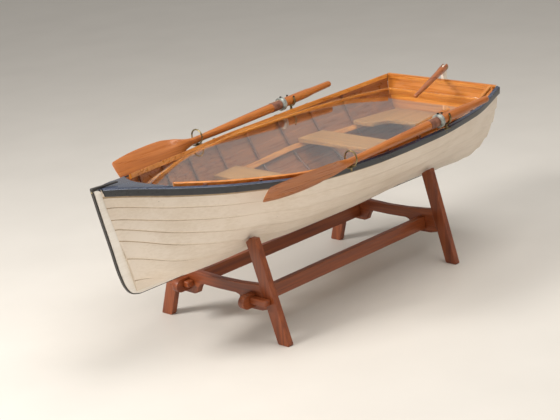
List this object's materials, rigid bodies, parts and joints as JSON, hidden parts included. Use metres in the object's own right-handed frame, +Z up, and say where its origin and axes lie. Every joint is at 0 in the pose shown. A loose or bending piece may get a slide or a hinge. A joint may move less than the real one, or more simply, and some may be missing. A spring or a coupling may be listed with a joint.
{
  "type": "rowing boat table on a trestle stand",
  "caption": "Scale clinker rowing boat on a pegged mahogany trestle stand, glass-topped as a low table, with oars in rowlocks, rudder and tiller.",
  "frame": {"origin": "centre of the bounding box, on the ground under the stand's feet", "axes": "+X towards the bow, +Y to port, +Z up"},
  "size_m": [1.697, 0.6816, 0.5833],
  "materials": {
    "cream_paint": "satin cream paint on wood",
    "black_paint": "dark brown-black paint",
    "navy_paint": "navy blue gloss paint",
    "orange_varnish": "glossy orange-brown varnish",
    "light_varnish": "light tan varnish",
    "floor_stain": "dull dark stain",
    "clear_glass": "clear polished plate",
    "aged_brass": "aged, unpolished",
    "brown_leather": "worn brown leather",
    "dark_collar": "dark grey, dull",
    "mahogany": "satin reddish-brown mahogany"
  },
  "bodies": {
    "stand": {"leg_bow_port": "mahogany", "leg_bow_starboard": "mahogany", "leg_stern_port": "mahogany", "leg_stern_starboard": "mahogany", "crossbar_bow": "mahogany", "crossbar_stern": "mahogany", "stretcher_port": "mahogany", "stretcher_starboard": "mahogany"},
    "hull": {"keel_and_stem": "cream_paint", "stem_band": "black_paint", "breasthook": "navy_paint", "transom": "orange_varnish", "plank_1_port": "cream_paint", "plank_2_port": "cream_paint", "plank_3_port": "cream_paint", "plank_4_port": "cream_paint", "plank_5_port": "cream_paint", "plank_6_port": "cream_paint", "plank_7_port": "cream_paint", "plank_1_starboard": "cream_paint", "plank_2_starboard": "cream_paint", "plank_3_starboard": "cream_paint", "plank_4_starboard": "cream_paint", "plank_5_starboard": "cream_paint", "plank_6_starboard": "cream_paint", "plank_7_starboard": "cream_paint", "inwale_port": "orange_varnish", "inwale_starboard": "orange_varnish", "riser_port": "orange_varnish", "riser_starboard": "orange_varnish", "rib_1": "orange_varnish", "rib_2": "orange_varnish", "rib_3": "orange_varnish", "rib_4": "orange_varnish", "rib_5": "orange_varnish", "rib_6": "orange_varnish", "rib_7": "orange_varnish", "rib_8": "orange_varnish", "stern_sheets": "light_varnish", "centre_thwart": "light_varnish", "bow_thwart": "light_varnish", "floor_boards": "floor_stain", "glass_ledge": "orange_varnish", "rail_port": "navy_paint", "rail_starboard": "navy_paint"},
    "glass": {"glass_top": "clear_glass"},
    "ring_port": {"ring_rowlock_port": "aged_brass"},
    "horn_port": {"horn_rowlock_port": "aged_brass"},
    "oar_port": {"oar_port": "orange_varnish", "oar_sleeve_port": "brown_leather", "oar_collar_port": "dark_collar"},
    "peg_port": {"peg_port": "mahogany"},
    "ring_starboard": {"ring_rowlock_starboard": "aged_brass"},
    "horn_starboard": {"horn_rowlock_starboard": "aged_brass"},
    "oar_starboard": {"oar_starboard": "orange_varnish", "oar_sleeve_starboard": "brown_leather", "oar_collar_starboard": "dark_collar"},
    "peg_starboard": {"peg_starboard": "mahogany"},
    "rudder": {"rudder": "cream_paint"},
    "tiller": {"tiller": "orange_varnish"}
  },
  "joints": [
    {"name": "hull_lift", "type": "slide", "parent": "stand", "child": "hull", "axis": [0, 0, 1], "range_m": [0, 0.12]},
    {"name": "glass_lift", "type": "slide", "parent": "hull", "child": "glass", "axis": [0, 0, 1], "range_m": [0, 0.04]},
    {"name": "ring_swivel_port", "type": "hinge", "parent": "hull", "child": "ring_port", "pos_m": [0.09849, 0.31199, 0.487], "axis": [0, 0, 1], "range_deg": [-18, 18]},
    {"name": "horn_swivel_port", "type": "hinge", "parent": "hull", "child": "horn_port", "pos_m": [-0.36751, 0.31843, 0.495], "axis": [0, 0, 1], "range_deg": [-8, 8]},
    {"name": "oar_feather_port", "type": "hinge", "parent": "hull", "child": "oar_port", "pos_m": [-0.35551, 0.31826, 0.528], "axis": [0.9985, -0.0138, -0.0533], "range_deg": [0, 80]},
    {"name": "peg_pull_port", "type": "slide", "parent": "stand", "child": "peg_port", "axis": [0, 1, 0], "range_m": [0, 0.045]},
    {"name": "ring_swivel_starboard", "type": "hinge", "parent": "hull", "child": "ring_starboard", "pos_m": [0.12949, -0.31047, 0.487], "axis": [0, 0, 1], "range_deg": [-18, 18]},
    {"name": "horn_swivel_starboard", "type": "hinge", "parent": "hull", "child": "horn_starboard", "pos_m": [-0.33551, -0.31878, 0.495], "axis": [0, 0, 1], "range_deg": [-8, 8]},
    {"name": "oar_feather_starboard", "type": "hinge", "parent": "hull", "child": "oar_starboard", "pos_m": [-0.35551, -0.31914, 0.5282], "axis": [-0.9985, -0.0178, 0.0512], "range_deg": [0, 80]},
    {"name": "peg_pull_starboard", "type": "slide", "parent": "stand", "child": "peg_starboard", "axis": [0, -1, 0], "range_m": [0, 0.045]},
    {"name": "rudder_hinge", "type": "hinge", "parent": "hull", "child": "rudder", "pos_m": [-0.77751, 0.00226, 0.4], "axis": [0, 0, 1], "range_deg": [-53, 17]},
    {"name": "tiller_lift", "type": "hinge", "parent": "rudder", "child": "tiller", "pos_m": [-0.79083, -0.00206, 0.571], "axis": [0.309, -0.9511, 0], "range_deg": [0, 60]}
  ]
}
